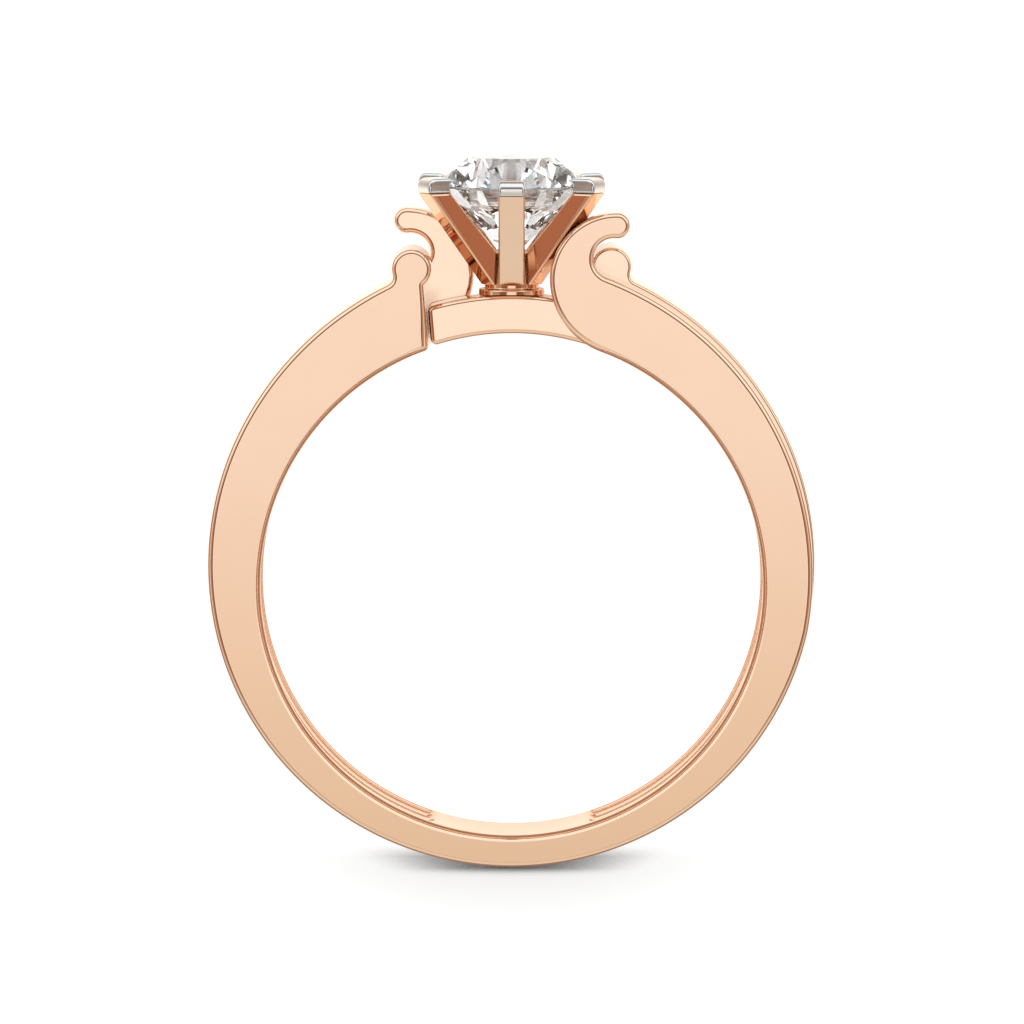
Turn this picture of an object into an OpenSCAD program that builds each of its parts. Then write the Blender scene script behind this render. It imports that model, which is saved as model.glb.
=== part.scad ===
// A solitaire ring with a six-claw setting, lying on its side.
// The band parts at the top into two scrolled shoulders that pass each other:
// each shoulder is a thick block with a knob and, beside it, a thin plate that
// curls up into a hook. Half a turn about the stone's axis gives the same ring.
// Shapes are drawn flat, with the middle of the finger hole at the origin, the
// stone along +Y and the finger axis along Z, and are laid down at the end.

/* [Finger hole] */
// Radius of the finger hole
finger_r = 8.65; // [8.45:0.05:8.85]

/* [Band] */
// Width of the band, from its front face to its back face
band_w = 3.8; // [3.4:0.1:4.4]
// Thickness of the band opposite the stone
wall_bottom = 1.09; // [0.9:0.01:1.3]
// Thickness of the band at its two sides
wall_side = 1.78; // [1.7:0.01:1.9]
// Width of the two shallow hollows cut into the inside of the band
hollow_w = 3; // [2.6:0.1:3.2]
// Depth of the hollows
hollow_t = 0.25; // [0.1:0.05:0.4]
// Turn from the bottom of the finger hole to the lower end of a hollow, in degrees
hollow_low = 17; // [15:0.5:20]
// Turn from there to its upper end, in degrees
hollow_high = 115; // [90:1:120]

/* [Shoulders] */
// How far the circle of a shoulder is centred past the middle
shoulder_shift = 0.62; // [0.5:0.01:0.75]
// How far that centre lies below the centre of the band's circle
shoulder_drop = 0.345; // [0.3:0.005:0.4]
// Radius of the round knob that ends a shoulder block
knob_r = 0.68; // [0.6:0.01:0.75]
// Distance of the knob from the middle
knob_x = 3.44; // [3.4:0.01:3.55]
// How far the knob's centre stands above the line of the shoulder
knob_lift = 0.17; // [0.1:0.01:0.3]
// Radius of the hollow corner between knob and shoulder
knob_fillet = 0.3; // [0.2:0.05:0.4]
// Distance of the block's end face from the middle, at the knob's neck
end_x = 3.03; // [3:0.01:3.1]
// Lean of the end face, in degrees
end_lean = 4.7; // [3:0.1:6]

/* [Scrolls] */
// Thickness of the plate that ends in the hook
plate_t = 1.1; // [0.9:0.05:1.2]
// How far the plate's edge is set back from the edge of the block beside it
plate_step = 0.17; // [0.1:0.01:0.25]
// Distance of the hook's centre from the middle
hook_x = 3.62; // [3.6:0.01:3.7]
// Height of the hook's centre
hook_y = 10.58; // [10.5:0.01:10.65]
// Radius of the hollow under the hook's tip
notch_r = 0.7; // [0.65:0.01:0.75]
// Distance of that hollow from the middle
notch_x = 3.51; // [3.45:0.01:3.6]
// Radius of the hook's round tip
tip_r = 0.44; // [0.38:0.01:0.48]
// Lean of the tip outwards over the hollow, in degrees
tip_lean = 6; // [0:1:12]
// Turn below the level at which the hook opens into a wider arc, in degrees
scroll_turn = 10; // [5:1:20]

/* [Bridge] */
// Width of the bridge that carries the setting
bridge_w = 1.5; // [1.3:0.05:1.5]
// Thickness of the bridge
bridge_t = 1.33; // [1.2:0.01:1.5]
// Seam between the bridge and each end face
bridge_seam = 0.08; // [0.05:0.01:0.15]

/* [Setting] */
// Number of prongs, one of them at the front
prongs = 6; // [6]
// Width of a prong
prong_w = 0.9; // [0.8:0.05:0.9]
// Distance of a prong's outer edge from the axis, where its claw begins
prong_top_r = 3.48; // [3.45:0.01:3.5]
// Thickness of a prong there, across its slope
prong_top_t = 0.85; // [0.8:0.01:0.9]
// Height at which the prong ends and its white claw begins
claw_y = 13.55; // [13.5:0.01:13.6]
// Distance of a prong's lower end from the axis
foot_r = 0.9; // [0.88:0.01:0.93]
// Height of that end
foot_y = 10.23; // [10.2:0.01:10.3]
// Distance from the axis at which a prong leaves the core on its inner side
inner_r = 0.82; // [0.8:0.01:0.85]
// Height of that place, which is also the top of the core
core_y = 11.46; // [11.4:0.01:11.5]
// Radius of the core's top
core_top_r = 0.87; // [0.86:0.01:0.9]
// Radius of the core where it stands on the collar
core_foot_r = 0.93; // [0.92:0.01:0.95]
// Radius of the flat collar under the core
collar_r = 1.13; // [1:0.01:1.2]
// Height of the collar's top
collar_y = 10.17; // [10.1:0.01:10.2]
// Radius of the well in the core, over which the stone's point stands
well_r = 0.55; // [0.4:0.05:0.6]
// Height of the well's floor
well_y = 10.8; // [10.6:0.05:11]

/* [Claws] */
// Height of a claw's top
claw_top = 14.07; // [14.03:0.01:14.12]
// How far a claw reaches in over the stone
claw_reach = 0.2; // [0.15:0.01:0.25]
// Radius of a claw's outer shoulder
claw_round = 0.24; // [0.2:0.01:0.3]
// How far a claw stands out over its prong
claw_swell = 0.03; // [0.02:0.01:0.05]
// Height over which a claw widens to that
claw_flare = 0.15; // [0.1:0.01:0.2]

/* [Stone] */
// Diameter of the stone
stone_d = 5.2; // [5.15:0.01:5.22]
// Width of the table from corner to corner, as a share of the stone
table_share = 0.56; // [0.53:0.01:0.6]
// Height of the crown above the girdle
crown_h = 0.9; // [0.8:0.005:0.95]
// Height of the middle of the girdle
girdle_y = 13.74; // [13.72:0.01:13.76]
// Thickness of the girdle where its facets meet
girdle_t = 0.15; // [0.13:0.01:0.16]
// Slope of the main facets under the girdle, in degrees
pavilion_slope = 43; // [41:0.1:44]
// Reach of the star facets from the table towards the girdle
star_share = 0.6; // [0.5:0.01:0.65]
// Reach of the lower halves from the girdle towards the point
lower_share = 0.78; // [0.7:0.01:0.85]

/* [Hidden] */
$fn = 96;

rose_gold = [0.93, 0.70, 0.57];
white_gold = [0.86, 0.87, 0.88];
clear_stone = [0.93, 0.95, 0.98];

// Space left between pieces that meet
gap = 0.03;
// Length that reaches past any part of the ring
far = 15;
// Points round the stone's girdle, four for each facet that ends on it
girdle_n = 64;
// Turn from one main facet of the stone to the next, and half of it
main_turn = 45;
half_main = main_turn / 2;
// Depth of a knob's neck under its centre, as a share of its radius
neck_share = 0.85;
// Depth under the hollow at which hook and plate are joined
joint_depth = 1.4;

// The band's outer circle touches the wall thickness below and at the sides
below = finger_r + wall_bottom;
beside = finger_r + wall_side;
band_r = (below + beside * beside / below) / 2;
band_rise = band_r - below;

// The left shoulder's circle touches the band's circle from outside
shoulder_c = [shoulder_shift, band_rise - shoulder_drop];
shoulder_r = band_r + norm([shoulder_shift, shoulder_drop]);
toward_joint = [-shoulder_shift, shoulder_drop] / norm([shoulder_shift, shoulder_drop]);

plate_edge_r = shoulder_r - plate_step;
plate_z = band_w / 2 - plate_t;

function unit(v) = v / norm(v);

// Where two circles cross, on the left of the way from the first to the second
function crossing(c1, r1, c2, r2) =
    let (d = norm(c2 - c1),
         along = (d * d + r1 * r1 - r2 * r2) / (2 * d),
         across = sqrt(r1 * r1 - along * along),
         u = unit(c2 - c1))
    c1 + along * u + across * [-u.y, u.x];

// Knob, and the circle that hollows the corner beside it and clears both by a hair
knob_c = [-knob_x,
          shoulder_c.y + sqrt(pow(shoulder_r + knob_lift, 2) - pow(knob_x + shoulder_shift, 2))];
hair = 0.003;
fillet_away = knob_fillet + hair;
fillet_c = crossing(shoulder_c, shoulder_r + fillet_away, knob_c, knob_r + fillet_away);
fillet_foot = shoulder_c + shoulder_r * unit(fillet_c - shoulder_c);

// Distance of the end face from the middle at a height
neck_y = knob_c.y - neck_share * knob_r;
function end_face_x(y) = -end_x + (neck_y - y) * tan(end_lean);

// Scroll on the left: hollow, tip and hook
notch_c = [-notch_x,
           shoulder_c.y + sqrt(pow(plate_edge_r + notch_r, 2) - pow(notch_x + shoulder_shift, 2))];
tip_c = notch_c + (notch_r + tip_r) * [-sin(tip_lean), cos(tip_lean)];
hook_c = [-hook_x, hook_y];
hook_r = norm(tip_c - hook_c) + tip_r;
inside_plate = shoulder_c + (plate_edge_r - joint_depth) * unit(notch_c - shoulder_c);

// The wider arc that the hook opens into, which touches the finger hole from outside
scroll_way = [cos(scroll_turn), -sin(scroll_turn)];
hook_foot = hook_c + hook_r * scroll_way;
apart = finger_r + hook_r;
widening = (hook_c * hook_c - apart * apart) / (2 * (apart + hook_c * scroll_way));
scroll_c = hook_c - widening * scroll_way;
scroll_r = hook_r + widening;
hole_foot = finger_r * unit(scroll_c);

// Lean of the ring as it lies on the widest edge of a claw and on the band's far edge
claw_out = prong_top_r + claw_swell;
claw_rest = claw_y + claw_flare;
tilt = atan((claw_out - band_w / 2) / (claw_rest + below));
lift = below * sin(tilt) + band_w / 2 * cos(tilt);

stone_r = stone_d / 2;
table_r = stone_r * table_share;
crown_rise = crown_h / (stone_r - table_r);
star_r = table_r * cos(half_main) * (1 - star_share) + stone_r * star_share;
lower_r = stone_r * (1 - lower_share);

// How far the ring slides so that the middle of its box is over the origin
table_y = girdle_y + girdle_t / 2 + crown_h;
slide = ((below - table_y) * cos(tilt) + (band_w / 2 - table_r) * sin(tilt)) / 2;

// Turns a flat drawing so that the ring lies on the ground, its box over the origin
module lying() {
    translate([0, slide, lift]) rotate([tilt, 0, 0]) children();
}

// Half turn about the stone's axis
module half_turn() {
    rotate([0, 180, 0]) children();
}

// Everything left of the middle, up to the slanted end face
module left_of_end() {
    polygon([[0, -far], [-far, -far], [-far, far], [end_face_x(far), far], [end_face_x(0), 0], [0, 0]]);
}

// Everything above or below the line on which shoulder and band join
module beyond_joint(side) {
    way = toward_joint * far;
    across = [way.y, -way.x] * side;
    polygon([shoulder_c - way, shoulder_c + way, shoulder_c + way + across, shoulder_c - way + across]);
}

// Outline of the block with the knob, on the left
module block_outline() {
    difference() {
        union() {
            intersection() {
                translate([0, band_rise]) circle(band_r);
                beyond_joint(-1);
                left_of_end();
            }
            intersection() {
                translate(shoulder_c) circle(shoulder_r);
                beyond_joint(1);
                left_of_end();
            }
            translate(knob_c) circle(knob_r);
            difference() {
                polygon([knob_c, fillet_c, fillet_foot, [end_face_x(neck_y - knob_r), neck_y - knob_r]]);
                translate(fillet_c) circle(knob_fillet);
            }
        }
        circle(finger_r);
    }
}

// Outline of the plate with the hook, on the left
module plate_outline() {
    difference() {
        union() {
            intersection() {
                translate(hook_c) circle(hook_r);
                polygon([[tip_c.x, far], tip_c, notch_c, inside_plate, hook_foot,
                         [0, hook_foot.y], [0, far]]);
            }
            intersection() {
                translate(scroll_c) circle(scroll_r);
                polygon([inside_plate, hook_foot, [hook_foot.x, 0], hole_foot]);
            }
            intersection() {
                translate(shoulder_c) circle(plate_edge_r);
                polygon([notch_c, inside_plate, hole_foot, [0, 0], [0, -far], [-far, -far], [-far, far]]);
                union() {
                    translate([0, band_rise]) circle(band_r);
                    translate([-far, 0]) square([far, far]);
                }
            }
        }
        translate(notch_c) circle(notch_r);
        circle(finger_r);
    }
    translate(tip_c) circle(tip_r);
}

// The hollow that makes the inside of the band lighter, on the left
module hollow() {
    low_end = far * [-sin(hollow_low), -cos(hollow_low)];
    high_end = far * [-sin(hollow_high), -cos(hollow_high)];
    linear_extrude(hollow_w, center = true) intersection() {
        circle(finger_r + hollow_t);
        polygon([[0, 0], high_end, [-far, 0], [-far, -far], low_end]);
    }
}

// Left half of the band: the block in front and the plate behind it
module left_half() {
    difference() {
        union() {
            translate([0, 0, -plate_z]) linear_extrude(plate_z + band_w / 2) block_outline();
            translate([0, 0, -band_w / 2]) linear_extrude(plate_t) plate_outline();
        }
        hollow();
    }
}

module shank() {
    color(rose_gold) lying() {
        left_half();
        half_turn() left_half();
    }
}

// The span between the two blocks, under the setting
module bridge() {
    left = end_face_x(0) + bridge_seam;
    left_top = end_face_x(far) + bridge_seam;
    color(rose_gold) lying() linear_extrude(bridge_w, center = true) difference() {
        intersection() {
            circle(finger_r + bridge_t);
            polygon([[left, 0], [left_top, far], [-left_top, far], [-left, 0]]);
        }
        circle(finger_r);
    }
}

// Turns a piece drawn on the right round to its place about the stone's axis
module at_prong(i) {
    rotate([0, i * 360 / prongs - 90, 0]) children();
}

// Side of one prong, drawn on the right of the axis
module prong_side() {
    polygon([[foot_r, foot_y], [prong_top_r, claw_y],
             [prong_top_r - prong_top_t, claw_y], [inner_r, core_y]]);
}

// Stands a cone on a height, with its axis upright
module upright(low, high, r_low, r_high) {
    translate([0, low, 0]) rotate([-90, 0, 0]) cylinder(h = high - low, r1 = r_low, r2 = r_high);
}

// Room for the two hooks, which the prongs beside them would run into
module hook_room() {
    for (turn = [0, 180]) rotate([0, turn, 0]) translate([hook_c.x, hook_c.y, -band_w / 2 - gap])
        cylinder(r = hook_r + gap, h = plate_t + 2 * gap);
}

module setting() {
    color(rose_gold) lying() difference() {
        union() {
            for (i = [0 : prongs - 1]) at_prong(i) linear_extrude(prong_w, center = true) prong_side();
            upright(finger_r, collar_y, collar_r, collar_r);
            upright(collar_y, core_y, core_foot_r, core_top_r);
        }
        upright(well_y, far, well_r, well_r);
        cylinder(r = finger_r + bridge_t + gap, h = far, center = true);
        hook_room();
    }
}

// Side of one claw, with the notch that holds the stone's edge
module claw_side() {
    edge = stone_r + gap;
    tip = edge - claw_reach;
    inner = prong_top_r - prong_top_t;
    low = claw_y + gap / 2;
    over = girdle_y + girdle_t / 2 + gap;
    difference() {
        union() {
            polygon([[inner, low], [prong_top_r, low], [claw_out, claw_rest],
                     [claw_out, claw_top - claw_round], [claw_out - claw_round, claw_top],
                     [tip + claw_round, claw_top], [tip, claw_top - claw_round / 3],
                     [tip, girdle_y], [edge, girdle_y - girdle_t]]);
            translate([claw_out - claw_round, claw_top - claw_round]) circle(claw_round);
        }
        polygon([[0, girdle_y - edge * tan(pavilion_slope)], [edge, girdle_y - girdle_t / 2],
                 [edge, over], [0, over + edge * crown_rise]]);
    }
}

module claw(i) {
    color(white_gold) lying() at_prong(i) linear_extrude(prong_w, center = true) claw_side();
}

function around(r, a, z) = [r * cos(a), r * sin(a), z];

// Height at which the plane through three points passes over a place
function plane_z(p, q, s, at) =
    let (n = cross(q - p, s - p))
    p.z - (n.x * (at.x - p.x) + n.y * (at.y - p.y)) / n.z;

// One edge of the girdle: the round outline, followed by the facets that end on it
function girdle_edge(z, tips) = [for (j = [0 : girdle_n - 1])
    let (facet = floor(j * 16 / girdle_n),
         at = around(stone_r, j * 360 / girdle_n, 0),
         from = around(stone_r, facet * half_main, z),
         to = around(stone_r, (facet + 1) * half_main, z))
    [at.x, at.y, plane_z(tips[floor(facet / 2)], from, to, at)]];

// A round brilliant: its table looks along +Z, and a corner of the table along +X
module brilliant() {
    up = girdle_t / 2;
    step = girdle_n / 8;
    depth = stone_r * tan(pavilion_slope);
    star_z = up + crown_rise * (stone_r - star_r * cos(half_main));
    lower_z = -up - tan(pavilion_slope) * (stone_r - lower_r * cos(half_main));
    table = [for (k = [0 : 7]) around(table_r, k * main_turn, up + crown_h)];
    stars = [for (k = [0 : 7]) around(star_r, k * main_turn + half_main, star_z)];
    lowers = [for (k = [0 : 7]) around(lower_r, k * main_turn + half_main, lower_z)];
    star = 8;
    lower = 16;
    top = 24;
    bottom = top + girdle_n;
    point = bottom + girdle_n;
    polyhedron(
        points = concat(table, stars, lowers, girdle_edge(up, stars), girdle_edge(-up, lowers),
                        [[0, 0, -up - depth]]),
        faces = concat(
            [[for (k = [7 : -1 : 0]) k]],
            [for (k = [0 : 7]) [k, (k + 1) % 8, star + k]],
            [for (k = [0 : 7]) [k, star + k, top + k * step, star + (k + 7) % 8]],
            [for (k = [0 : 7], half = [0, 1])
                concat([star + k], [for (j = [step / 2 : -1 : 0])
                    top + (k * step + half * step / 2 + j) % girdle_n])],
            [for (j = [0 : girdle_n - 1])
                [top + j, top + (j + 1) % girdle_n, bottom + (j + 1) % girdle_n, bottom + j]],
            [for (k = [0 : 7], half = [0, 1])
                concat([lower + k], [for (j = [0 : step / 2])
                    bottom + (k * step + half * step / 2 + j) % girdle_n])],
            [for (k = [0 : 7]) [point, lower + (k + 7) % 8, bottom + k * step, lower + k]]));
}

module stone() {
    color(clear_stone) lying() translate([0, girdle_y, 0]) rotate([-90, 0, 0]) brilliant();
}

shank();
bridge();
setting();
claw(0);  // claw_1
claw(1);  // claw_2
claw(2);  // claw_3
claw(3);  // claw_4
claw(4);  // claw_5
claw(5);  // claw_6
stone();
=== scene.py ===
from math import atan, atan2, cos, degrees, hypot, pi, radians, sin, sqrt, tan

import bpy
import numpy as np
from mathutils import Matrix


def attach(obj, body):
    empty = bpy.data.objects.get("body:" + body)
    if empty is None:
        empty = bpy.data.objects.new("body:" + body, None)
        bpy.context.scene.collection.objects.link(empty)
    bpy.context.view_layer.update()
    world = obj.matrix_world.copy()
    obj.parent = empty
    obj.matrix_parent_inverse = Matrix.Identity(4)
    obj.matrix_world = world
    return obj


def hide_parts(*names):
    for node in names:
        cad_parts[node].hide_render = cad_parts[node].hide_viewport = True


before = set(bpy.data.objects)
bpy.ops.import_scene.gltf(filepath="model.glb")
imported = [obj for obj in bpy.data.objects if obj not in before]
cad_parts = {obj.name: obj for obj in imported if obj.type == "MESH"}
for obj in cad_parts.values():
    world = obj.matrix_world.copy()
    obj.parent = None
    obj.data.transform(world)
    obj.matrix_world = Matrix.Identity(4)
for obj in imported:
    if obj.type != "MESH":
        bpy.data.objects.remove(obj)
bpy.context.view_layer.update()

# A solitaire ring of polished rose gold with white gold claws, lying on its side.
# The metal pieces are drawn flat in millimetres, as in the part's source: the middle
# of the finger hole at the origin, the stone along +Y and the finger axis along Z.
# laid_down() then turns them to the way the ring lies, in metres.

# Finger hole and band
FINGER_R = 8.65
BAND_W = 3.8
WALL_BOTTOM = 1.09
WALL_SIDE = 1.78

# Hollows inside the band: width, and the turns from the bottom at which they end
HOLLOW_W = 3.0
HOLLOW_ENDS = (17, 115)

# Shoulder blocks and their knobs
SHOULDER_SHIFT = 0.62
SHOULDER_DROP = 0.345
KNOB_R = 0.68
KNOB_X = 3.44
KNOB_LIFT = 0.17
KNOB_FILLET = 0.3
END_X = 3.03
END_LEAN = 4.7
NECK = 0.85
NECK_FILLET = 0.08

# Scrolled plates
PLATE_T = 1.1
PLATE_STEP = 0.17
HOOK = np.array([-3.62, 10.58])
NOTCH_R = 0.7
NOTCH_X = 3.51
TIP_R = 0.44
TIP_LEAN = 6
SCROLL_TURN = 10
PLATE_FILLET = 2.0

# Bridge
BRIDGE_W = 1.5
BRIDGE_T = 1.33
BRIDGE_SEAM = 0.08

# Prongs, and the core on its collar
PRONGS = 6
PRONG_W = 0.9
PRONG_TOP_R = 3.48
PRONG_TOP_T = 0.85
CLAW_Y = 13.55
FOOT_R = 0.9
FOOT_Y = 10.23
INNER_R = 0.82
CORE_Y = 11.46
CORE_TOP_R = 0.87
CORE_FOOT_R = 0.93
COLLAR_R = 1.13
COLLAR_Y = 10.17
WELL_R = 0.55
WELL_Y = 10.8
# Radii at the corners of a prong's side view, from its foot round by way of its top
PRONG_CORNERS = (0.05, 0.01, 0.01, 0.15)

# Claws
CLAW_TOP = 14.07
CLAW_REACH = 0.2
CLAW_SWELL = 0.03
CLAW_FLARE = 0.15
# How far the end over the stone and its top edge lie out from the claw's reach
CLAW_END = 0.02
CLAW_EDGE = 0.22
# Radii at the corners of a claw's side view, from the seat's foot round by way of the outside
CLAW_CORNERS = (0.01, 0.03, 0.5, 0.3, 0.3, 0.02, 0.01)

# Stone
STONE_D = 5.2
TABLE_SHARE = 0.56
CROWN_H = 0.9
GIRDLE_Y = 13.74
GIRDLE_T = 0.15

GAP = 0.03

# Radii of the rounded edges
BAND_SOFT = 0.2
KNOB_SOFT = 0.17
HOOK_SOFT = 0.18
STEP_SOFT = 0.12
BRIDGE_SOFT = 0.16
PRONG_SOFT = 0.08
CORE_SOFT = 0.06
CLAW_SOFT = 0.1
CORNER = 0.2
# The finger hole's front and back edges are arcs of this radius that stop short of the faces
HOLE_SOFT = 0.48
HOLE_TURN = 54.0
# Reaches within which a rounded edge turns to the next one above, and to a sharp one below
EDGE_BLEND = 1.2
UNDER_BLEND = 0.4
# The hook's lower edge is bare from this far below the notch's middle round to this far above
# the scroll's foot
NOTCH_BARE = 0.4
SCROLL_BARE = 0.2
# A block's edge beside a plate is rounded by up to this share of the step between them
STEP_SHARE = 0.7
# The hollows go down in slopes: how far inside the rim each begins, its width and its depth
HOLLOW_SLOPES = ((0.0, 0.11, 0.09), (0.6, 0.12, 0.10), (0.76, 0.7, 0.06))
# Length of the slopes at the hollows' ends
HOLLOW_END = 0.4
# Heights at which the wall has more points for those slopes, in the front and the middle layer
FRONT_LEVELS = (0.82, 0.86, 0.9, 1.36, 1.39, 1.42, 1.45, 1.475, 1.5)
MIDDLE_LEVELS = (-0.78, -0.74, -0.55, -0.35, -0.15, 0.15, 0.35, 0.55, 0.74, 0.78)

# A circle this large stands for a straight line in an outline
STRAIGHT = 20000.0

# Points of an outline lie at most about this far apart, and this many degrees on its arcs and on
# the corners of polygons
OUTLINE_STEP = 0.12
OUTLINE_TURN = 3.0
CORNER_TURN = 9.0
ARC_POINTS = 6
RING_POINTS = 72
# Decimals of a millimetre to which points are the same, and the distance that counts as none
SAME_PLACE = 7
NO_DISTANCE = 1e-6
# Least share of a normal that points straight out of the finger hole's wall on that wall
FACING = 0.99

# Polishing leaves the front and back faces this many degrees out of true
FACE_LEAN = 1.0

# The light table's glow before and behind a line near the ring's foot, and where it changes;
# before the foot it is dimmer, a painted shade
GLOW = (0.93, 0.98)
GLOW_EDGE = (-0.0124, -0.0112)
# The painted soft shade of the ring's foot: the line that it falls off from, the edge behind
# which it ends, then a, b and depth of its parts, the one close to the metal first
SHADE_LINE = -0.01258
FOOT_EDGE = (-0.0122, -0.0118)
SHADES = [(0.0036, 0.00015, 1.0), (0.0042, 0.0005, 0.06), (0.0058, 0.0013, 0.07)]
# In the metal the sheet under the ring is white up to the first distance from its middle, and
# beyond the second it is a painted dark bench that only the metal shows
SHEET_MIDDLE = (0.0, 0.003, 0.0)
SHEET_EDGE = (0.013, 0.017)
# Round the middle of the finger hole it is darker, a painted shade, from the second distance
# inwards
HOLE_MIDDLE = (0.0, -0.0025, 0.0)
HOLE_SHADE = (0.0068, 0.0052)


def unit(v):
    """The vector v, one long."""
    return np.asarray(v, float) / np.linalg.norm(v)


# Centre and radius of the band's outer circle, which touches the walls below and beside
BELOW = FINGER_R + WALL_BOTTOM
BESIDE = FINGER_R + WALL_SIDE
BAND_R = (BELOW + BESIDE ** 2 / BELOW) / 2
BAND_C = np.array([0, BAND_R - BELOW])

# The left shoulder's circle touches the band's circle from outside
SHOULDER_C = BAND_C + [SHOULDER_SHIFT, -SHOULDER_DROP]
SHOULDER_R = BAND_R + hypot(SHOULDER_SHIFT, SHOULDER_DROP)
PLATE_R = SHOULDER_R - PLATE_STEP
PLATE_Z = BAND_W / 2 - PLATE_T


def over_shoulder(r, x):
    """The point at -x on the upper side of a circle about the left shoulder's centre."""
    return np.array([-x, SHOULDER_C[1] + sqrt(r ** 2 - (x + SHOULDER_SHIFT) ** 2)])


KNOB = over_shoulder(SHOULDER_R + KNOB_LIFT, KNOB_X)
NOTCH = over_shoulder(PLATE_R + NOTCH_R, NOTCH_X)
TIP = NOTCH + (NOTCH_R + TIP_R) * np.array([-sin(radians(TIP_LEAN)), cos(radians(TIP_LEAN))])
HOOK_R = np.linalg.norm(TIP - HOOK) + TIP_R

# The hook opens into a wider arc that touches the finger hole from outside
SCROLL_WAY = np.array([cos(radians(SCROLL_TURN)), -sin(radians(SCROLL_TURN))])
HOOK_FOOT = HOOK + HOOK_R * SCROLL_WAY
APART = FINGER_R + HOOK_R
WIDENING = (HOOK @ HOOK - APART ** 2) / (2 * (APART + HOOK @ SCROLL_WAY))
SCROLL = HOOK - WIDENING * SCROLL_WAY
SCROLL_R = HOOK_R + WIDENING
HOLE_FOOT = FINGER_R * unit(SCROLL)

# How the ring lies: on the widest edge of its back claw and on the band's far edge
CLAW_OUT = PRONG_TOP_R + CLAW_SWELL
CLAW_REST = CLAW_Y + CLAW_FLARE
TILT = atan((CLAW_OUT - BAND_W / 2) / (CLAW_REST + BELOW))
LIFT = BELOW * sin(TILT) + BAND_W / 2 * cos(TILT)
TABLE_Y = GIRDLE_Y + GIRDLE_T / 2 + CROWN_H
TABLE_R = STONE_D / 2 * TABLE_SHARE
SLIDE = ((BELOW - TABLE_Y) * cos(TILT) + (BAND_W / 2 - TABLE_R) * sin(TILT)) / 2


def tipped(v):
    """Vectors of the flat drawing, turned about X by the angle at which the ring lies."""
    x, y, z = np.moveaxis(np.asarray(v, float), -1, 0)
    return np.stack([x, y * cos(TILT) - z * sin(TILT), y * sin(TILT) + z * cos(TILT)], -1)


def laid_down(p):
    """Points of the flat drawing in millimetres, as places on the lying ring in metres."""
    return (tipped(p) + [0, SLIDE, LIFT]) / 1000


def mirrored(circles):
    """The same circles on the other side of the stone's axis, run through the other way round."""
    return [(np.array([-c[0], c[1]]), r) for c, r in reversed(circles)]


# Outlines. Each is run through with the metal on its left. A circle with a positive
# radius bounds the metal from outside, one with a negative radius from inside.

def meeting(a, ra, b, rb, near):
    """Of the two points where circles a and b cross, the one nearer to a given place."""
    d = np.linalg.norm(b - a)
    along = (d ** 2 + ra ** 2 - rb ** 2) / (2 * d)
    across = sqrt(max(ra ** 2 - along ** 2, 0))
    u = (b - a) / d
    side = np.array([-u[1], u[0]])
    both = (a + along * u + s * across * side for s in (1, -1))
    return min(both, key=lambda p: np.linalg.norm(p - near))


def straight(p, way):
    """A line through p with the metal on its left, as the edge of a very large circle."""
    way = unit(way)
    return (np.asarray(p, float) - STRAIGHT * np.array([way[1], -way[0]]), STRAIGHT)


class Outline:
    """A closed outline with its outward normals. Its edge can be moved inwards."""

    def __init__(self, points, normals, tags=None):
        self.points, self.normals, self.tags = points, normals, tags

    def inset(self, depth):
        """The points, each moved in along its normal."""
        return self.points - self.normals * depth


class Polygon(Outline):
    """A closed outline with straight sides and small round corners.

    Each point belongs to one corner, or lies between two. Moved in by d, the arc of radius r at a
    corner with centre c shrinks to c + n max(r - d, 0), and then its centre moves in along the
    corner's mitre m by max(d - r, 0). Points between two corners keep their share of the way.
    """

    def __init__(self, rows):
        self.centre, self.mitre, self.radius, self.share, self.normals = map(np.array, zip(*rows))
        self.share = self.share[:, None]
        self.points = self.inset(np.zeros((len(rows), 1)))

    def inset(self, depth):
        """The points, each moved in with its corners."""
        ends = []
        for k in (0, 1):
            r = self.radius[:, k, None]
            ends.append(self.centre[:, k] + self.normals * np.maximum(r - depth, 0)
                        - self.mitre[:, k] * np.maximum(depth - r, 0))
        return ends[0] + (ends[1] - ends[0]) * self.share


def outline(circles, corners):
    """A closed outline made of arcs.

    circles holds (centre, signed radius), corners the radius of the small arc between each
    circle and the next (0 where they touch, negative in a hollow corner) and a place near it.
    An arc of radius f touches a circle of radius r where their centres are |r - f| apart.
    Each arc gives points c + r (cos a, sin a) at even steps of the angle a. The outline's
    tags are the numbers of the circles that its points lie on.
    """
    count = len(circles)
    starts, ends, fillets = [None] * count, [None] * count, [None] * count
    for i, (f, near) in enumerate(corners):
        (a, ra), (b, rb) = circles[i], circles[(i + 1) % count]
        near = np.asarray(near, float)
        if f:
            c = meeting(a, abs(ra - f), b, abs(rb - f), near)
            ends[i], starts[(i + 1) % count] = a + abs(ra) * unit(c - a), b + abs(rb) * unit(c - b)
            fillets[i] = (c, f)
        else:
            ends[i] = starts[(i + 1) % count] = meeting(a, abs(ra), b, abs(rb), near)
    points, normals, tags = [], [], []
    for i, (c, r) in enumerate(circles):
        runs = [(c, r, starts[i], ends[i])]
        if fillets[i]:
            runs.append((*fillets[i], ends[i], starts[(i + 1) % count]))
        for c, r, p, q in runs:
            a = atan2(p[1] - c[1], p[0] - c[0])
            b = atan2(q[1] - c[1], q[0] - c[0])
            sweep = (b - a) % (2 * pi) if r > 0 else -((a - b) % (2 * pi))
            n = max(2, round(abs(sweep * r) / OUTLINE_STEP),
                    round(degrees(abs(sweep)) / OUTLINE_TURN))
            angle = a + sweep * np.arange(n) / n
            round_way = np.stack([np.cos(angle), np.sin(angle)], -1)
            points.append(c + abs(r) * round_way)
            normals.append(round_way * np.sign(r))
            tags.append(np.full(n, i))
    return Outline(np.concatenate(points), np.concatenate(normals), np.concatenate(tags))


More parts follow.
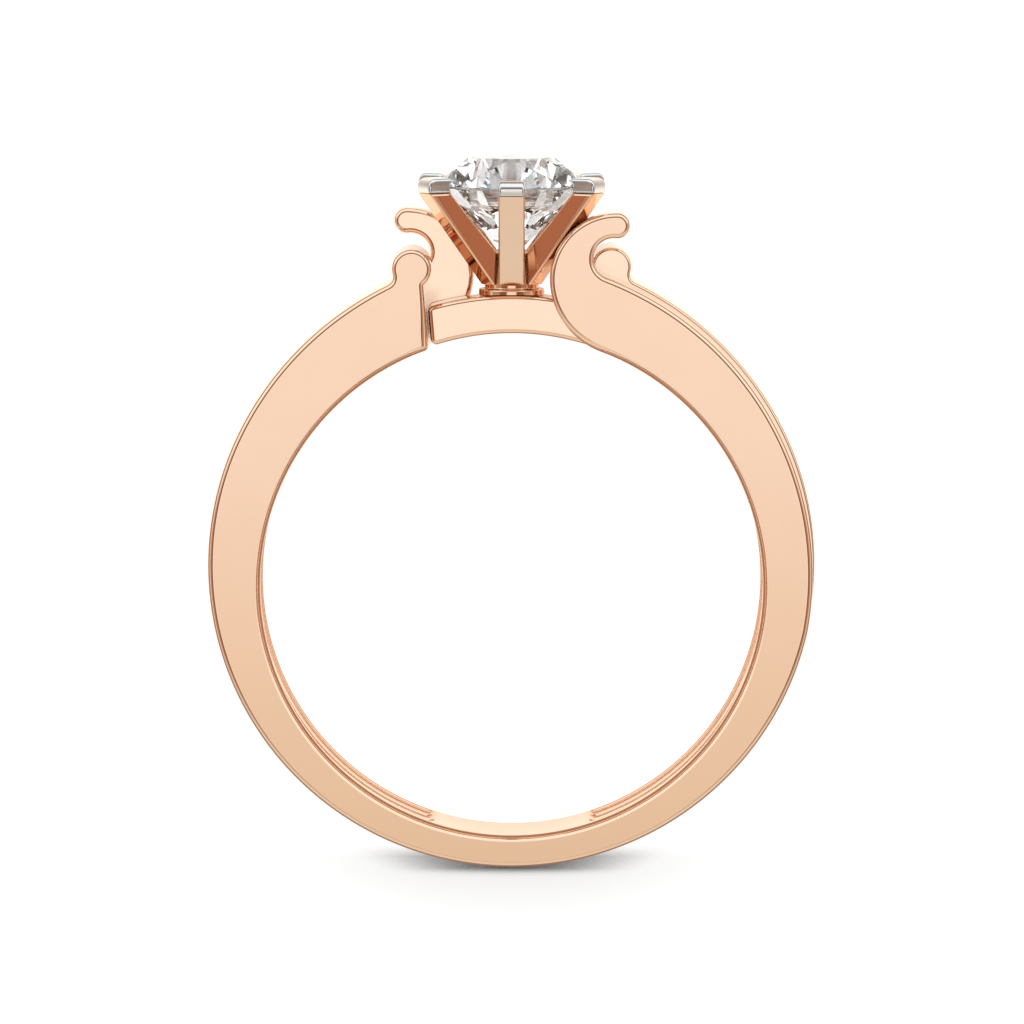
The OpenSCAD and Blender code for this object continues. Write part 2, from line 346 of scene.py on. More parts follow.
def polygon(corners, radii, step=OUTLINE_STEP):
    """A polygon from its corners, run through with the metal on the left, and their radii.

    The centre of a corner's arc lies r / cos(half the turn) from the corner along its mitre.
    """
    corners = np.asarray(corners, float)
    count = len(corners)
    ways = np.roll(corners, -1, 0) - corners
    ways /= np.linalg.norm(ways, axis=1)[:, None]
    sides = np.stack([ways[:, 1], -ways[:, 0]], -1)
    mitres = np.array([unit(sides[i - 1] + sides[i]) for i in range(count)])
    mitres /= np.sum(mitres * sides, 1)[:, None]
    centres = corners - mitres * np.asarray(radii, float)[:, None]
    rows = []
    for i in range(count):
        before, after, far = sides[i - 1], sides[i], (i + 1) % count
        bend = atan2(before[0] * after[1] - before[1] * after[0], before @ after)
        pair = (centres[i], centres[i]), (mitres[i], mitres[i]), (radii[i], radii[i])
        points = max(2, round(degrees(abs(bend)) / CORNER_TURN) + 1)
        for a in atan2(before[1], before[0]) + bend * np.linspace(0, 1, points):
            rows.append((*pair, 0.0, (cos(a), sin(a))))
        pieces = max(1, round(np.linalg.norm(corners[far] - corners[i]) / step))
        for k in range(1, pieces):
            rows.append(((centres[i], centres[far]), (mitres[i], mitres[far]),
                         (radii[i], radii[far]), k / pieces, after))
    return Polygon(rows)


def evened(values, points, reach):
    """Values along a closed outline, each averaged with those within reach by a bell curve."""
    gaps = np.linalg.norm(np.roll(points, -1, 0) - points, axis=1)
    along = np.cumsum(gaps) - gaps
    total = gaps.sum()
    apart = np.abs(along[:, None] - along[None])
    apart = np.minimum(apart, total - apart)
    weight = np.exp(-(apart / reach) ** 2) * ((gaps + np.roll(gaps, 1)) / 2)[None]
    return weight @ values / weight.sum(1)


class Shell:
    """Places, faces and a normal for every corner of every face, gathered from several surfaces."""

    def __init__(self):
        self.places, self.faces, self.normals, self.count = [], [], [], 0

    def add(self, places, faces, normals):
        """Adds a surface. faces are lists of point numbers, normals has a vector for each."""
        self.places.append(places)
        self.faces += [[i + self.count for i in face] for face in faces]
        self.normals.append(normals)
        self.count += len(places)

    def turned(self, turn):
        """A copy of the shell with every place and normal turned by a matrix."""
        copy = Shell()
        copy.places = [p @ turn.T for p in self.places]
        copy.faces = list(self.faces)
        copy.normals = [n @ turn.T for n in self.normals]
        copy.count = self.count
        return copy

    def join(self, other):
        """Adds all the surfaces of another shell."""
        self.places += other.places
        self.faces += [[i + self.count for i in face] for face in other.faces]
        self.normals += other.normals
        self.count += other.count


def stitched(grid, normals, caps=()):
    """A closed surface from a grid of points: rows along the first axis, columns round the second.

    Points that coincide become one, a four-sided face that has lost a side becomes
    three-sided, and one that has lost two is left out. caps holds (row, normal):
    a flat face that closes the first row (0) or the last row (-1).
    """
    rows, columns = grid.shape[:2]
    flat = grid.reshape(-1, 3)
    _, first, number = np.unique(np.round(flat, SAME_PLACE), axis=0,
                                 return_index=True, return_inverse=True)
    number = number.reshape(rows, columns)
    flat_normals = normals.reshape(-1, 3)
    index = np.arange(rows * columns).reshape(rows, columns)
    beside = np.roll(index, -1, 1)
    corners = np.stack([index[:-1], beside[:-1], beside[1:], index[1:]], -1).reshape(-1, 4)
    numbers = number.reshape(-1)[corners]
    lost = numbers == np.roll(numbers, -1, 1)
    whole = lost.sum(1) == 0
    quads, quad_normals = numbers[whole], flat_normals[corners[whole]]
    faces = quads.tolist()
    face_normals = [quad_normals.reshape(-1, 3)]
    for side in range(4):
        bent = (lost.sum(1) == 1) & lost[:, side]
        ring = [(side + 1) % 4, (side + 2) % 4, (side + 3) % 4]
        faces += numbers[bent][:, ring].tolist()
        face_normals.append(flat_normals[corners[bent][:, ring]].reshape(-1, 3))
    for row, way in caps:
        edge = number[row]
        edge = edge[edge != np.roll(edge, 1)]
        faces.append((edge if row else edge[::-1]).tolist())
        face_normals.append(np.repeat([way], len(edge), 0))
    return flat[first], faces, np.concatenate(face_normals)


def rounded_slab(edge, low, high, soft_low, soft_high, steps=5, turn=90.0, levels=(),
                 ways=((0, 0, -1), (0, 0, 1))):
    """A flat piece with the given outline between two heights, with rounded edges.

    Along the outline runs an arc, a wall and another arc. At the angle a the surface stands in by
    soft (1 - cos a) and lies soft (sin A - sin a) inside the flat face, where A is the angle at
    which the arc meets that face: a quarter turn below, and the given turn above. Its normal is
    n cos a + z sin a. soft and turn may change along the outline, and soft may be 0.
    ways holds the normals of the flat faces, levels the heights of more points on the wall.
    """
    count = len(edge.points)
    soft_low = np.broadcast_to(soft_low, count)
    soft_high = np.broadcast_to(soft_high, count)
    last_low = np.full(count, pi / 2)
    last_high = np.broadcast_to(np.radians(turn), count)
    share = np.linspace(0, 1, steps + 1)
    grid, tilted = [], []

    def ring(inwards, height, a, side):
        a = a[:, None]
        grid.append(np.concatenate([edge.inset(inwards[:, None]), height[:, None]], -1))
        tilted.append(np.concatenate([edge.normals * np.cos(a), side * np.sin(a)], -1))

    for a in share[::-1, None] * last_low:
        ring(soft_low * (1 - np.cos(a)), low + soft_low * (np.sin(last_low) - np.sin(a)), a, -1)
    for level in levels:
        height = np.clip(level, low + soft_low * np.sin(last_low),
                         high - soft_high * np.sin(last_high))
        ring(0 * soft_low, height, 0 * last_low, 1)
    for a in share[:, None] * last_high:
        ring(soft_high * (1 - np.cos(a)),
             high - soft_high * (np.sin(last_high) - np.sin(a)), a, 1)
    shell = Shell()
    shell.add(*stitched(np.array(grid), np.array(tilted), caps=((0, ways[0]), (-1, ways[1]))))
    return shell


def piece(name, shell, material, node):
    """Makes a shell a piece of the ring that rides on the part and stands for its CAD node."""
    mesh = bpy.data.meshes.new(name)
    mesh.from_pydata(laid_down(np.concatenate(shell.places)), [], shell.faces)
    mesh.polygons.foreach_set("use_smooth", np.ones(len(mesh.polygons), bool))
    mesh.normals_split_custom_set(tipped(np.concatenate(shell.normals)))
    mesh.materials.append(material)
    made = bpy.data.objects.new(name, mesh)
    bpy.context.scene.collection.objects.link(made)
    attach(made, "root")
    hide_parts(node)


# Materials

# Polished metal: how fine its slow drift and its polishing marks are, in waves per metre, and
# how the marks are turned and drawn out
DRIFT = 420.0
MARKS = 26000.0
MARKS_TURN = (0.4, 0.3, 0.6)
MARKS_STRETCH = (1.0, 0.06, 1.0)
# The drift's darkest tone, the part of it that changes the shine, and its shares of the roughness
DRIFT_TONE = 0.96
DRIFT_SPAN = (0.3, 0.7)
DRIFT_SHINE = (0.7, 1.4)
# Sideways parts of a face's normal between which it turns to the colour of faces turned aside,
# a painted reflection of other metal, and back
FLANK_REFLECTION_TURN = (0.15, 0.4, 0.6, 0.75)
# Painted shade in crevices: how far off the wall across may be, how open they are where the
# dark colour is full and where it ends, and how dull
NOOK_SHADE_REACH = 0.0012
NOOK_SHADE_OPEN = (0.05, 0.25)
NOOK_DULL = 0.15
# Painted reflections: how the metal shows in other metal and through the stone, as the share
# of a paler tone painted into it
METAL_SEEN_PAINTED = [("Is Glossy Ray", 0.55, (0.80, 0.68, 0.58)),
              ("Is Transmission Ray", 0.95, (0.86, 0.83, 0.80))]

# The stone: its two tints, how fine the haze between them is, how far from the girdle's plane
# its matt band ends, and the roughness of that band
STONE_TINTS = ((0.92, 0.95, 0.98), (0.87, 0.92, 0.97))
HAZE = 900.0
MATT_EDGE = (0.00003, 0.00006)
MATT = 0.25
# What the stone throws back: where each brightness of its patches begins, the brightness, and
# how fine the patches are in the studio and on the floor, where they are a painted glow
PATCHES = [(0.0, 1.7), (0.28, 0.50), (0.42, 0.22), (0.68, 0.08), (0.82, 0.008), (0.92, 1.7)]
WORLD_PATCHES = 2.6
FLOOR_PAINTED_PATCHES = 160.0

# The floor: tones of the sheet and of the painted dark bench, of the table, and of the sheet's
# painted glow, which only the metal shows
SHEET_TONES = ((0.74, 0.73, 0.70), (0.76, 0.75, 0.72))
BENCH_PAINTED_SHADE = (0.32, 0.24, 0.19)
TABLE_TONE = (0.12, 0.12, 0.12)
SHEET_GLOW = (0.34, 0.31, 0.28)
# How far off metal still darkens the floor's glow with painted shade, and the open shares at
# which that shade ends
TOUCH_REACH = 0.0015
TOUCH_OPEN = (0.8, 1.0)


class Nodes:
    """The node tree of a material or world. Its helpers add a node with its values and links."""

    def __init__(self, owner):
        owner.use_nodes = True
        self.tree = owner.node_tree
        self.tree.nodes.clear()

    def put(self, socket, value):
        """Links another node's output to a socket, or gives it a number, a vector or a colour."""
        if isinstance(value, bpy.types.NodeSocket):
            self.tree.links.new(value, socket)
        elif socket.type == "RGBA":
            socket.default_value = (*value, 1)
        else:
            socket.default_value = value

    def add(self, kind, **values):
        """A new node. A value is for the node's setting of that name, or else for its input."""
        made = self.tree.nodes.new(kind)
        for key, value in values.items():
            if hasattr(made, key):
                setattr(made, key, value)
            else:
                self.put(made.inputs[key.replace("_", " ")], value)
        return made

    def spread(self, source, start, end, low=0.0, high=1.0):
        """low where the source is at start, high where it is at end, and even between them."""
        return self.add("ShaderNodeMapRange", Value=source, From_Min=start, From_Max=end,
                        To_Min=low, To_Max=high).outputs["Result"]

    def maths(self, operation, *values, kind="ShaderNodeMath"):
        """The number that an operation makes from its values."""
        made = self.add(kind, operation=operation)
        for socket, value in zip(made.inputs, values):
            self.put(socket, value)
        return made.outputs["Value"]

    def between(self, operation, a, b):
        """The number that an operation makes from two vectors."""
        return self.maths(operation, a, b, kind="ShaderNodeVectorMath")

    def mix(self, share, a, b):
        """Colour a, with a share of colour b in it."""
        return self.add("ShaderNodeMixRGB", Fac=share, Color1=a, Color2=b).outputs["Color"]

    def graded(self, source, stops, way="LINEAR"):
        """The source's colour in a ramp through (position, brightness or colour)."""
        made = self.add("ShaderNodeValToRGB", Fac=source)
        made.color_ramp.interpolation = way
        elements = made.color_ramp.elements
        while len(elements) > 1:
            elements.remove(elements[-1])
        for i, (position, value) in enumerate(stops):
            element = elements[0] if i == 0 else elements.new(position)
            element.position = position
            element.color = (*(value if isinstance(value, tuple) else (value,) * 3), 1)
        return made.outputs["Color"]

    def patches(self, where, scale):
        """The patchwork of bright and dark cells that the stone throws back."""
        cells = self.add("ShaderNodeTexVoronoi", Vector=where, Scale=scale)
        choice = self.add("ShaderNodeSeparateXYZ", Vector=cells.outputs["Color"])
        return self.graded(choice.outputs["X"], PATCHES, "CONSTANT")


def polished_gold(name, colour, flank_reflection, crevice_shade, roughness):
    """Polished gold: a mirror with a slow drift of its colour and shine, and hair-fine marks.

    Faces that look about 30 degrees sideways take a painted reflection of other metal as their
    colour. Deep in narrow slots, where the polishing wheel doesn't reach, the metal is dull, and
    its colour darkens there as painted shade. A paler tone is painted in where it shows in other
    metal, and grey where it shows through the stone: painted reflections.
    """
    material = bpy.data.materials.new(name)
    nodes = Nodes(material)
    where = nodes.add("ShaderNodeTexCoord").outputs
    drift = nodes.add("ShaderNodeTexNoise", Vector=where["Object"], Scale=DRIFT,
                      Detail=3.0, Roughness=0.5).outputs["Fac"]
    # Faces turned aside take a painted reflection of other metal as their colour
    facing = nodes.add("ShaderNodeSeparateXYZ", Vector=where["Normal"])
    aside = nodes.maths("ABSOLUTE", facing.outputs["X"])
    both = nodes.graded(aside, zip(FLANK_REFLECTION_TURN, (colour, flank_reflection, flank_reflection, colour)))
    alloy = nodes.add("ShaderNodeHueSaturation", Color=both,
                      Value=nodes.spread(drift, 0.0, 1.0, 1.0, DRIFT_TONE))
    # Painted shade: the colour darkens in narrow slots where nearby metal closes in
    nook_shade = nodes.add("ShaderNodeAmbientOcclusion", samples=4, Distance=NOOK_SHADE_REACH)
    depth = nodes.spread(nook_shade.outputs["AO"], *NOOK_SHADE_OPEN)
    shown = nodes.mix(depth, crevice_shade, alloy.outputs["Color"])
    # Painted reflections: paler tones where the metal shows in metal or through the stone
    seen = nodes.add("ShaderNodeLightPath").outputs
    for ray, share, tone in METAL_SEEN_PAINTED:
        shown = nodes.mix(nodes.maths("MULTIPLY", seen[ray], share), shown, tone)
    shine = nodes.spread(drift, *DRIFT_SPAN, *(roughness * share for share in DRIFT_SHINE))
    dull = nodes.spread(depth, 0.0, 1.0, NOOK_DULL, 0.0)
    stretch = nodes.add("ShaderNodeMapping", Vector=where["Object"],
                        Rotation=MARKS_TURN, Scale=MARKS_STRETCH)
    marks = nodes.add("ShaderNodeTexNoise", Vector=stretch.outputs["Vector"], Scale=MARKS,
                      Detail=2.0, Roughness=0.6)
    relief = nodes.add("ShaderNodeBump", Height=marks.outputs["Fac"],
                       Strength=0.012, Distance=0.00002)
    gold = nodes.add("ShaderNodeBsdfPrincipled", Base_Color=shown, Metallic=1.0, IOR=1.5,
                     Specular_Tint=(1.0, 0.96, 0.91), Roughness=nodes.maths("ADD", shine, dull),
                     Normal=relief.outputs["Normal"])
    nodes.add("ShaderNodeOutputMaterial", Surface=gold.outputs["BSDF"])
    return material


def cut_stone(name):
    """A clear cut stone: it bends light like diamond, and its girdle is ground matt."""
    material = bpy.data.materials.new(name)
    nodes = Nodes(material)
    where = nodes.add("ShaderNodeTexCoord").outputs["Object"]
    haze = nodes.add("ShaderNodeTexNoise", Vector=where, Scale=HAZE, Detail=2.0)
    # Distance from the girdle's plane, in metres
    axis = tipped([0, 1, 0])
    height = nodes.between("DOT_PRODUCT", where, axis)
    middle = float(laid_down([0, GIRDLE_Y, 0]) @ axis)
    away = nodes.maths("ABSOLUTE", nodes.maths("SUBTRACT", height, middle))
    clear = nodes.add("ShaderNodeBsdfPrincipled", IOR=2.42, Transmission_Weight=1.0,
                      Base_Color=nodes.mix(haze.outputs["Fac"], *STONE_TINTS),
                      Roughness=nodes.spread(away, *MATT_EDGE, MATT, 0.0))
    nodes.add("ShaderNodeOutputMaterial", Surface=clear.outputs["BSDF"])
    return material


def pale_floor(name):
    """A white light table with a very faint unevenness.

    It glows for the eye, less in a painted soft shade of the ring's foot, which falls off as
    2^-(x^2/a^2 + y^2/b^2), y counted from a line before the foot. The deepest part of that
    painted shade is only near the metal, and all of it ends behind the foot. In the metal the
    table shows as a white sheet with a painted darker middle on a painted dark bench, with a
    painted glow on the sheet, and the stone throws back grey and black cards painted on it.
    """
    material = bpy.data.materials.new(name)
    nodes = Nodes(material)
    where = nodes.add("ShaderNodeTexCoord").outputs["Object"]
    seen = nodes.add("ShaderNodeLightPath").outputs
    place = nodes.add("ShaderNodeSeparateXYZ", Vector=where).outputs
    cloud = nodes.add("ShaderNodeTexNoise", Vector=where, Scale=40.0)
    sheet = nodes.mix(cloud.outputs["Fac"], *SHEET_TONES)
    # Painted shade that only the metal shows: darker at the bench and round the hole's middle
    darker = nodes.maths("MAXIMUM", *(
        nodes.spread(nodes.between("DISTANCE", where, middle), *edge)
        for middle, edge in ((SHEET_MIDDLE, SHEET_EDGE), (HOLE_MIDDLE, HOLE_SHADE))))
    surface = nodes.mix(darker, sheet, BENCH_PAINTED_SHADE)

    # Painted shade of the ring's foot, taken out of the floor's glow
    glow = nodes.spread(place["Y"], *GLOW_EDGE, *GLOW)
    touch = nodes.add("ShaderNodeAmbientOcclusion", samples=5, Distance=TOUCH_REACH)
    close = nodes.spread(touch.outputs["AO"], *TOUCH_OPEN, 1.0, 0.0)
    before = nodes.spread(place["Y"], *FOOT_EDGE, 1.0, 0.0)
    beyond = nodes.maths("MINIMUM", nodes.maths("SUBTRACT", place["Y"], SHADE_LINE), 0.0)
    for (wide, deep, depth), reach in zip(SHADES, (close, before, before)):
        across = nodes.maths("POWER", nodes.maths("DIVIDE", place["X"], wide), 2.0)
        along = nodes.maths("POWER", nodes.maths("DIVIDE", beyond, deep), 2.0)
        fall = nodes.maths("MULTIPLY", nodes.maths("ADD", across, along), -1.0)
        bell = nodes.maths("MULTIPLY", nodes.maths("POWER", 2.0, fall), reach)
        bell = nodes.maths("MULTIPLY", bell, before)
        lit = nodes.maths("SUBTRACT", 1.0, nodes.maths("MULTIPLY", bell, depth))
        glow = nodes.maths("MULTIPLY", glow, lit)
    # Painted glow of the sheet, which only the metal shows
    mirrored_glow = nodes.mix(darker, SHEET_GLOW, (0.0, 0.0, 0.0))
    # Painted reflection: through the stone the floor glows with patches of grey and black cards
    shine = nodes.mix(seen["Is Transmission Ray"], mirrored_glow,
                      nodes.patches(where, FLOOR_PAINTED_PATCHES))
    paint = nodes.add("ShaderNodeBsdfPrincipled", Roughness=0.9, Specular_IOR_Level=0.0,
                      Base_Color=nodes.mix(seen["Is Camera Ray"], surface, TABLE_TONE),
                      Emission_Color=nodes.mix(seen["Is Camera Ray"], shine, glow),
                      Emission_Strength=1.0)
    nodes.add("ShaderNodeOutputMaterial", Surface=paint.outputs["BSDF"])
    return material


# Camera at the photograph's angle: about six degrees from the finger axis towards the stone

CAMERA_PITCH = 5.8
CAMERA_AWAY = 316.0
CAMERA_LENS = 321.2
AIM = np.array([0.014, 2.4, 0.0])

pitch = radians(CAMERA_PITCH)
camera_data = bpy.data.cameras.new("camera")
camera_data.lens = CAMERA_LENS
camera_data.sensor_width = 36.0
camera_data.clip_start = 0.01
camera_data.clip_end = 50.0
camera = bpy.data.objects.new("camera", camera_data)
camera.location = laid_down(AIM + CAMERA_AWAY * np.array([0, sin(pitch), cos(pitch)]))
camera.rotation_euler = (TILT - pitch, 0, 0)
bpy.context.scene.collection.objects.link(camera)
bpy.context.scene.camera = camera


# The metals: their colours, the painted reflection colours of faces turned aside and the
# painted shade colours of their crevices

ROSE = (0.96, 0.62, 0.43)
# Painted reflection: the prongs' rose gold is a deeper, more coppery copy, standing in for metal
# mirrored in metal
PRONG_REFLECTION_DEEPENED = (0.95, 0.53, 0.33)
# The prongs' painted reflection colour on faces turned aside
PRONG_FLANK_REFLECTION = (0.93, 0.62, 0.44)
WHITE = (0.80, 0.75, 0.72)
# The claws' painted reflection colour on faces turned aside
WHITE_FLANK_REFLECTION = (0.70, 0.72, 0.74)
# Painted shade colours of narrow slots
ROSE_NOOK_SHADE = (0.22, 0.06, 0.02)
WHITE_NOOK_SHADE = (0.20, 0.20, 0.21)

rose_gold = polished_gold("rose_gold_polished", ROSE, ROSE, ROSE_NOOK_SHADE, 0.045)
# The prongs get the deeper copy of the rose gold, a painted reflection of metal in metal
prong_gold_reflection_deepened = polished_gold("rose_gold_prongs_reflection_deepened", PRONG_REFLECTION_DEEPENED, PRONG_FLANK_REFLECTION, ROSE_NOOK_SHADE, 0.045)
white_gold = polished_gold("white_gold_polished", WHITE, WHITE_FLANK_REFLECTION, WHITE_NOOK_SHADE, 0.14)


# The metal's pieces

NECK_Y = KNOB[1] - NECK * KNOB_R
LEAN = tan(radians(END_LEAN))
HOLE = (np.zeros(2), -FINGER_R)

# The circles of the front outline by number: the left block's, the band's, then those of the
# scrolled plate and the finger hole. After the band the middle outline has the block's again,
# in reverse.
(END_FACE, KNOB_ARC, DIP, SHOULDER, BAND, PLATE, NOTCH_ARC, TIP_ARC, HOOK_ARC, SCROLL_ARC,
 HOLE_ARC) = range(11)
LEFT_BLOCK = [KNOB_ARC, DIP, SHOULDER]
RIGHT_BLOCK = [BAND + 1, BAND + 2, BAND + 3]


def left_block():
    """Circles of the left block from its leaning end face over the knob, and their corners."""
    dip = meeting(SHOULDER_C, SHOULDER_R + KNOB_FILLET, KNOB, KNOB_R + KNOB_FILLET,
                  KNOB + [-1, 0])
    circles = [straight([-END_X, NECK_Y], [-LEAN, 1.0]), (KNOB, KNOB_R), (dip, -KNOB_FILLET),
               (SHOULDER_C, SHOULDER_R)]
    corners = [(-NECK_FILLET, KNOB + [0.4, -0.6]), (0, dip + [0.3, 0]), (0, dip - [0.2, 0.3]),
               (0, SHOULDER_C + SHOULDER_R * unit([-SHOULDER_SHIFT, SHOULDER_DROP]))]
    return circles, corners


def flip(p):
    """The place across the stone's axis."""
    return np.array([-p[0], p[1]])


def on_circle(r, x):
    """The point at x on the upper side of a circle about the middle of the finger hole."""
    return np.array([x, sqrt(r ** 2 - x ** 2)])


def front_outline():
    """Outline of the front layer: block on the left, band below, scrolled plate on the right."""
    plate, notch, tip, hook = flip(SHOULDER_C), flip(NOTCH), flip(TIP), flip(HOOK)
    circles, corners = left_block()
    circles += [(BAND_C, BAND_R), (plate, PLATE_R), (notch, -NOTCH_R), (tip, TIP_R),
                (hook, HOOK_R), (flip(SCROLL), SCROLL_R), HOLE]
    corners += [(PLATE_FILLET, [BAND_R, -1.0]), (0, plate + PLATE_R * unit(notch - plate)),
                (0, (notch + tip) / 2), (0, tip + TIP_R * unit(tip - hook)),
                (0, flip(HOOK_FOOT)), (0, flip(HOLE_FOOT)), (CORNER, on_circle(FINGER_R, -END_X))]
    return outline(circles, corners)


def middle_outline():
    """Outline of the middle layer: a block on each side."""
    circles, near = left_block()
    circles = circles + [(BAND_C, BAND_R)] + mirrored(circles) + [HOLE]
    corners = near + [(f, flip(p)) for f, p in reversed(near)]
    corners += [(CORNER, on_circle(FINGER_R, END_X)), (CORNER, on_circle(FINGER_R, -END_X))]
    return outline(circles, corners)


def step_edge(points):
    """Radius of the block's edge at points of it, from its step to the plate on the right."""
    step = np.linalg.norm(points - flip(SHOULDER_C), axis=1) - PLATE_R
    return np.minimum(STEP_SOFT, np.clip(step, 0, None) * STEP_SHARE)


def hollowed(shell):
    """Sinks the wall of the finger hole into its two hollows.

    With s(t) = t^2 (3 - 2 t), a point of the wall moves out by d = s(u) sum(T s(v)): u grows from
    0 to 1 over a hollow's end, and v over each of its slopes, of depth T. With e_r away from the
    hole's axis and e_a along the wall, the normal becomes -e_r + d' e_a + d' e_z.
    """
    places, normals = np.concatenate(shell.places), np.concatenate(shell.normals)
    corners = np.concatenate([np.array(face) for face in shell.faces])
    away = np.linalg.norm(places[:, :2], axis=1)
    out = places[:, :2] / away[:, None]
    angle = np.arctan2(np.abs(out[:, 0]), -out[:, 1])
    after, before = angle - radians(HOLLOW_ENDS[0]), radians(HOLLOW_ENDS[1]) - angle
    inside = HOLLOW_W / 2 - np.abs(places[:, 2])

    def eased(t, length):
        """The step s(t / length) and its slope."""
        t = np.clip(t / length, 0, 1)
        return t * t * (3 - 2 * t), 6 * t * (1 - t) / length

    end, end_slope = eased(np.minimum(after, before) * FINGER_R, HOLLOW_END)
    section = slope = 0
    for begins, width, deep in HOLLOW_SLOPES:
        step, steepness = eased(inside - begins, width)
        section, slope = section + deep * step, slope + deep * steepness
    on_wall = np.abs(away - FINGER_R) < NO_DISTANCE
    along = end_slope * section * np.sign(before - after)
    across = -end * slope * np.sign(places[:, 2])
    wall = np.stack([-out[:, 0] - along * out[:, 1] * np.sign(out[:, 0]),
                     -out[:, 1] + along * np.abs(out[:, 0]), across], -1)
    wall /= np.linalg.norm(wall, axis=1)[:, None]
    flush = on_wall[corners] & (np.sum(normals[:, :2] * -out[corners], 1) > FACING)
    normals[flush] = wall[corners][flush]
    places[:, :2] += out * (end * section * on_wall)[:, None]
    shell.places, shell.normals = [places], [normals]
    return shell


def shank_shell():
    """The shank's front, middle and back layers. The back is the front after half a turn."""
    edge = front_outline()
    tags, high = edge.tags, edge.points[:, 1]
    top = np.full(HOLE_ARC + 1, BAND_SOFT)
    top[[END_FACE, KNOB_ARC, DIP]] = KNOB_SOFT
    top[[NOTCH_ARC, TIP_ARC, HOOK_ARC]] = HOOK_SOFT
    top[HOLE_ARC] = HOLE_SOFT
    soft_top = evened(top[tags], edge.points, EDGE_BLEND)
    turn = evened(np.where(tags == HOLE_ARC, HOLE_TURN, 90.0), edge.points, EDGE_BLEND)
    # The hook's lower edge is rounded where it is bare, with no block under it
    bare = (np.isin(tags, [TIP_ARC, HOOK_ARC])
            | ((tags == NOTCH_ARC) & (high > NOTCH[1] - NOTCH_BARE))
            | ((tags == SCROLL_ARC) & (high > HOLE_FOOT[1] + SCROLL_BARE)))
    soft_under = np.where(bare, HOOK_SOFT, 0.0)
    soft_under = np.minimum(soft_under, evened(soft_under, edge.points, UNDER_BLEND))
    lean = radians(FACE_LEAN)
    front = rounded_slab(edge, PLATE_Z, BAND_W / 2, soft_under, soft_top, turn=turn,
                         levels=FRONT_LEVELS,
                         ways=((0, sin(lean), -cos(lean)), (0, -sin(lean), cos(lean))))
    shell = Shell()
    shell.join(front)
    shell.join(front.turned(np.diag([-1.0, 1.0, -1.0])))
    edge = middle_outline()
    tags, right = edge.tags, edge.points[:, 0] > 0
    in_front = np.isin(tags, RIGHT_BLOCK) | ((tags == BAND) & right)
    behind = np.isin(tags, LEFT_BLOCK) | ((tags == BAND) & ~right)
    soft_front = np.where(in_front, step_edge(edge.points), 0.0)
    soft_back = np.where(behind, step_edge(edge.points * [-1, 1]), 0.0)
    shell.join(rounded_slab(edge, -PLATE_Z, PLATE_Z, soft_back, soft_front, levels=MIDDLE_LEVELS))
    return hollowed(shell)


def bridge_shell():
    """The bridge: a piece of a hoop whose ends follow the blocks' end faces."""
    out_r = FINGER_R + BRIDGE_T
    x = END_X - BRIDGE_SEAM
    left = straight([-x, NECK_Y], [LEAN, -1.0])
    right = straight([x, NECK_Y], [LEAN, 1.0])
    circles = [HOLE, right, (np.zeros(2), out_r), left]
    corners = [(CORNER, on_circle(r, x)) for r, x in
               ((FINGER_R, x), (out_r, x), (out_r, -x), (FINGER_R, -x))]
    return rounded_slab(outline(circles, corners), -BRIDGE_W / 2, BRIDGE_W / 2,
                        BRIDGE_SOFT, BRIDGE_SOFT)


def prong_turn(i):
    """The turn about the stone's axis that takes a side view to prong i. The first is in front."""
    b = radians(i * 360 / PRONGS - 90)
    return np.array([[cos(b), 0, sin(b)], [0, 1, 0], [-sin(b), 0, cos(b)]])


def quarter(centre, r, start, stop):
    """Rows (distance, height, normal) along an arc of radius r between two angles in degrees."""
    a = np.radians(np.linspace(start, stop, ARC_POINTS))
    way = np.stack([np.cos(a), np.sin(a)], -1)
    return np.concatenate([centre + r * way, way], -1)


def core_shell():
    """The core on its collar, turned about the stone's axis from the profile of its wall.

    The profile runs from the middle of the underside out, up over collar and core and down the
    well. Its underside follows the bridge: y = sqrt(seat^2 - x^2).
    """
    s = CORE_SOFT
    seat = FINGER_R + BRIDGE_T + GAP
    rows = np.concatenate([
        [[0, 0, 0, -1], [COLLAR_R, 0, 0, -1], [COLLAR_R, 0, 1, 0]],
        quarter([COLLAR_R - s, COLLAR_Y - s], s, 0, 90),
        quarter([CORE_FOOT_R + s, COLLAR_Y + s], -s, 90, 0),
        quarter([CORE_TOP_R - s, CORE_Y - s], s, 3, 90),
        quarter([WELL_R + s, CORE_Y - s], s, 90, 180),
        [[WELL_R, WELL_Y, -1, 0], [WELL_R, WELL_Y, 0, 1], [0, WELL_Y, 0, 1]]])
    r, height, out, up = rows.T[..., None]
    angle = np.linspace(0, 2 * pi, RING_POINTS, endpoint=False)[None]
    x, z = r * np.cos(angle), -r * np.sin(angle)
    y = np.where(height == 0, np.sqrt(seat ** 2 - x ** 2), height)
    normals = np.stack([out * np.cos(angle), up + 0 * angle, -out * np.sin(angle)], -1)
    shell = Shell()
    shell.add(*stitched(np.stack([x, y, z], -1), normals))
    return shell


def setting_shell():
    """Six sloping prongs with rounded edges round the core."""
    side = polygon([[FOOT_R, FOOT_Y], [PRONG_TOP_R, CLAW_Y], [PRONG_TOP_R - PRONG_TOP_T, CLAW_Y],
                    [INNER_R, CORE_Y]], PRONG_CORNERS)
    prong = rounded_slab(side, -PRONG_W / 2, PRONG_W / 2, PRONG_SOFT, PRONG_SOFT, steps=4)
    shell = core_shell()
    for i in range(PRONGS):
        shell.join(prong.turned(prong_turn(i)))
    return shell


